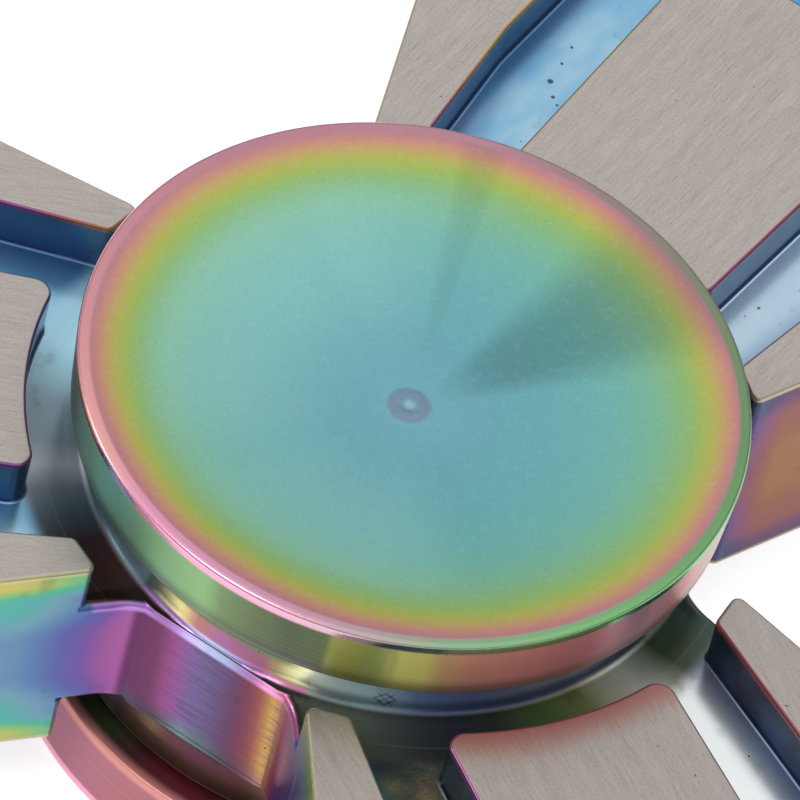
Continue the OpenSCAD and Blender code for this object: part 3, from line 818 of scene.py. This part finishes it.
    # A thin pale ring in the moat at radius 11.4 mm is a painted reflected line.
    moat = f.blend(f.fit(abs(radius - 11.4), 0.05, 0.02) * 0.10, moat, tint((150, 170, 178)))
    floor = f.blend(f.fit(radius + drift, 12.6, 11.9), floor, moat)
    flat = f.fit(abs(n[2]), 0.7, 0.93)
    plated = f.blend(outer, deep, wall)
    plated = f.blend(hub, plated, boss)
    plated = f.blend(flat * f.fit(high, 3.4, 3.0) * (1 - outer * f.fit(radius, 12.0, 12.3)), plated, floor)
    plated = f.blend(f.fit(blotch, 0.60, 0.75) * 0.30, plated, tint((40, 44, 62)))
    plated = f.blend(pits, plated, tint((14, 14, 18)))
    for px, py, size in pitsMm:
        spot = f.fit(((x - px) ** 2 + (y - py) ** 2) ** 0.5, size, size * 0.55)
        plated = f.blend(spot * 0.85, plated, tint((24, 30, 44)))
    a = math.radians(flawDegrees)
    aside, drop = abs(y * math.cos(a) - x * math.sin(a)), abs(z - flawZ)
    diamond = f.fit(abs(aside * 0.75 + drop - 0.26), 0.09, 0.03) * f.fit(runs[2], 8.0, 9.0)
    cross = f.fit(abs(aside - drop), 0.07, 0.02) * f.fit(aside + drop, 0.62, 0.5) * f.fit(runs[2], 8.0, 9.0)
    plated = f.blend((diamond * 0.5 + cross * 0.4) * hub, plated, tint((16, 20, 30)))

    # thin plated line left on the bevels of the bare faces
    bevelT = f.ramp(turn + drift * 0.02, cellsOf({0.0: 0.20, 0.12: 0.23, 0.22: 0.22, 0.25: 0.12, 0.29: 0.03, 0.32: 0.04,
                                                 0.335: 0.30, 0.40: 0.12, 0.49: 0.08, 0.52: 0.40, 0.545: 0.45,
                                                 0.57: 0.30, 0.63: 0.25, 0.70: 0.90, 0.83: 0.90, 0.86: 0.27,
                                                 0.90: 0.25, 1.0: 0.20}))
    bevel = f.ramp(bevelT, cellsOf(film))
    nearFace = f.fit(high, d["faceZ"] - 0.26, d["faceZ"] - 0.14)
    plated = f.blend(nearFace * 0.8 * (1 - outer), plated, bevel)
    plated = f.blend(nearFace * outer * 0.7, plated, tint((196, 180, 150)))
    colour = f.blend(bare, plated, steel)
    rough = (0.36 + fine * 0.16) * bare + (0.15 + blotch * 0.12 + waist * 0.08) * (1 - bare)
    height = (fine * 0.45 + broad * 0.15 + grit * 0.25) * bare + (streaks * waist * 0.6) * (1 - bare) - pits * 1.2
    shine = 1 - (1 - bare) * (0.25 + 0.35 * f.fit(radius, 12.6, 11.8) * (1 - outer))
    f.set(Base_Color=colour, Roughness=rough, Metallic=shine, Normal=f.bump(height, 0.00003, 0.35))
    return f.material


# Plain bearing metal: a mottled colour between two, with fine tooling marks.
def metal(name, low, high, rough, scale, streak=(1, 1, 1), stain=None):
    f = Finish(name, Metallic=1.0)
    p = f.place()
    x, y, z = [w / mm for w in f.parts(p)]
    marks = f.noise(f.join(x * streak[0], y * streak[1], z * streak[2]), scale, 3, 0.6)
    cloud = f.noise(p, 420, 3, 0.55)
    colour = f.ramp(marks * 0.6 + cloud * 0.4, [(0.32, low), (0.68, high)])
    if stain:
        colour = f.blend(f.fit(cloud, 0.54, 0.74) * 0.45, colour, tint(stain))
    f.set(Base_Color=colour, Roughness=rough + marks * 0.10, Normal=f.bump(marks, 0.00001, 0.2))
    return f.material


finishes = {
    "plated_casting": bodyFinish(shape),
    "plated_cap": capFinish(),
    "zinc_screw": metal("zincScrew", (150, 152, 158), (196, 198, 200), 0.26, 3.0, stain=(186, 178, 150)),
    "ring_steel": metal("ringSteel", (170, 172, 176), (208, 209, 212), 0.10, 1.0, streak=(0.6, 0.6, 26)),
    "cage_steel": metal("cageSteel", (140, 138, 134), (184, 182, 176), 0.30, 6.0),
    "shield_steel": metal("shieldSteel", (146, 148, 150), (188, 190, 192), 0.22, 2.0),
    "spring_steel": metal("springSteel", (58, 60, 72), (96, 96, 106), 0.20, 5.0, stain=(70, 66, 110)),
    "ball_steel": metal("ballSteel", (198, 198, 200), (222, 222, 224), 0.04, 2.0),
}


def wear(piece, slotName):
    piece.data.materials.clear()
    piece.data.materials.append(finishes[slotName])


nodeSlot = {"centre_stud": "zinc_screw", "bearing_outer_ring": "ring_steel", "bearing_inner_ring": "ring_steel",
            "ball_cage": "cage_steel", "bearing_shield_top": "shield_steel", "bearing_shield_bottom": "shield_steel",
            "shield_clip_top": "spring_steel", "shield_clip_bottom": "spring_steel",
            "three_arm_body": "plated_casting", "finger_cap_top": "plated_cap", "finger_cap_bottom": "plated_cap",
            **{f"ball_{i}": "ball_steel" for i in range(1, 11)}}
for name, node in frame["nodes"].items():
    wear(node, nodeSlot[name])

wear(body, "plated_casting")
body.data.shade_smooth()
body.data.set_sharp_from_angle(angle=math.radians(shape["sharpDegrees"]))
even = body.modifiers.new("evenShading", "WEIGHTED_NORMAL")
even.mode, even.keep_sharp, even.weight = "FACE_AREA_WITH_ANGLE", True, 90
for piece, node, bodyName, slotName in ((body, "three_arm_body", "rotor", "plated_casting"),
                                        (caps[0], "finger_cap_top", "hub", "plated_cap"),
                                        (caps[1], "finger_cap_bottom", "hub", "plated_cap")):
    wear(piece, slotName)
    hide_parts(node)
    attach(piece, bodyName)
print("finishes:", len(finishes))


studio = {
    "floor": 1.2, "floorGrey": 0.93,
    "glow": 0.62, "sky": 0.95, "horizon": 0.45,
    "keyWatts": 0.5, "keySize": 0.20, "keyPlace": (-0.12, -0.30, 0.40),
    "fillWatts": 0.25, "fillSize": 0.16, "fillPlace": (-0.42, -0.16, 0.14),
    "lens": 1200.0, "sensor": 36.0, "pictureWidth": 0.02567,
    "azimuth": 23.2, "elevation": 48.7, "roll": 15.06,
    "aim": (0.497, 0.581),   # mm right of and above the picture's middle, where the top rim's centre lies
}


def makeFloor():
    s = studio["floor"]
    g = np.linspace(-s, s, 3)
    gx, gy = np.meshgrid(g, g)
    points = np.column_stack([gx.ravel(), gy.ravel(), np.full(9, -capMm["top"] * mm)])
    faces = [(i, i + 1, i + 4, i + 3) for i in (0, 1, 3, 4)]
    floor = makeMesh("floor", points, faces, smooth=False)
    f = Finish("paleFloor", Roughness=0.9, Specular_IOR_Level=0.1, Emission_Color=(1, 1, 1, 1),
               Emission_Strength=studio["glow"])
    grain = f.noise(f.place(), 60, 2, 0.5)
    f.set(Base_Color=f.ramp(grain, [(0.3, studio["floorGrey"]), (0.7, studio["floorGrey"] + 0.02)]))
    floor.data.materials.append(f.material)
    return floor


def makeLight(name, place, size, watts):
    data = bpy.data.lights.new(name, "AREA")
    data.shape, data.size, data.energy = "DISK", size, watts
    light = bpy.data.objects.new(name, data)
    bpy.context.scene.collection.objects.link(light)
    light.location = place
    light.rotation_euler = (-Vector(place)).to_track_quat("-Z", "Y").to_euler()
    light.visible_camera = False
    return light


def skyDome():
    world = bpy.data.worlds.new("softRoom")
    bpy.context.scene.world = world
    world.use_nodes = True
    tree = world.node_tree
    f = Nodes(tree)
    back = tree.nodes["Background"]
    height = f.parts(f.add("TexCoord", out="Generated"))[2]
    grey = f.ramp(height * 0.5 + 0.5, [(0.5, studio["horizon"]), (0.62, studio["horizon"] + 0.08), (0.8, studio["sky"]),
                                      (1.0, studio["sky"] * 1.1)])
    plug(tree, back.inputs["Color"], grey)
    back.inputs["Strength"].default_value = 1.0


def makeCamera():
    az, el, roll = (math.radians(studio[k]) for k in ("azimuth", "elevation", "roll"))
    level = np.array([math.cos(az), math.sin(az), 0])
    back = np.array([math.sin(az) * math.cos(el), -math.cos(az) * math.cos(el), math.sin(el)])
    rise = np.cross(back, level)
    right = math.cos(roll) * level + math.sin(roll) * rise
    up = -math.sin(roll) * level + math.cos(roll) * rise
    target = np.array([0, 0, capMm["top"]]) - studio["aim"][0] * right - studio["aim"][1] * up
    data = bpy.data.cameras.new("camera")
    data.lens, data.sensor_width = studio["lens"], studio["sensor"]
    distance = studio["pictureWidth"] * studio["lens"] / studio["sensor"]
    camera = bpy.data.objects.new("camera", data)
    bpy.context.scene.collection.objects.link(camera)
    place = target * mm + back * distance
    camera.matrix_world = Matrix([[*row, p] for row, p in zip(np.column_stack([right, up, back]).tolist(), place)]
                                 + [[0, 0, 0, 1]])
    data.clip_start, data.clip_end = 0.05, 10.0
    bpy.context.scene.camera = camera
    return right, up, back


floor = makeFloor()
skyDome()
right, up, back = makeCamera()
makeLight("overhead", studio["keyPlace"], studio["keySize"], studio["keyWatts"])
makeLight("leftBox", studio["fillPlace"], studio["fillSize"], studio["fillWatts"])
bpy.context.scene.view_settings.view_transform = "Standard"
print("stage, lights and camera set")
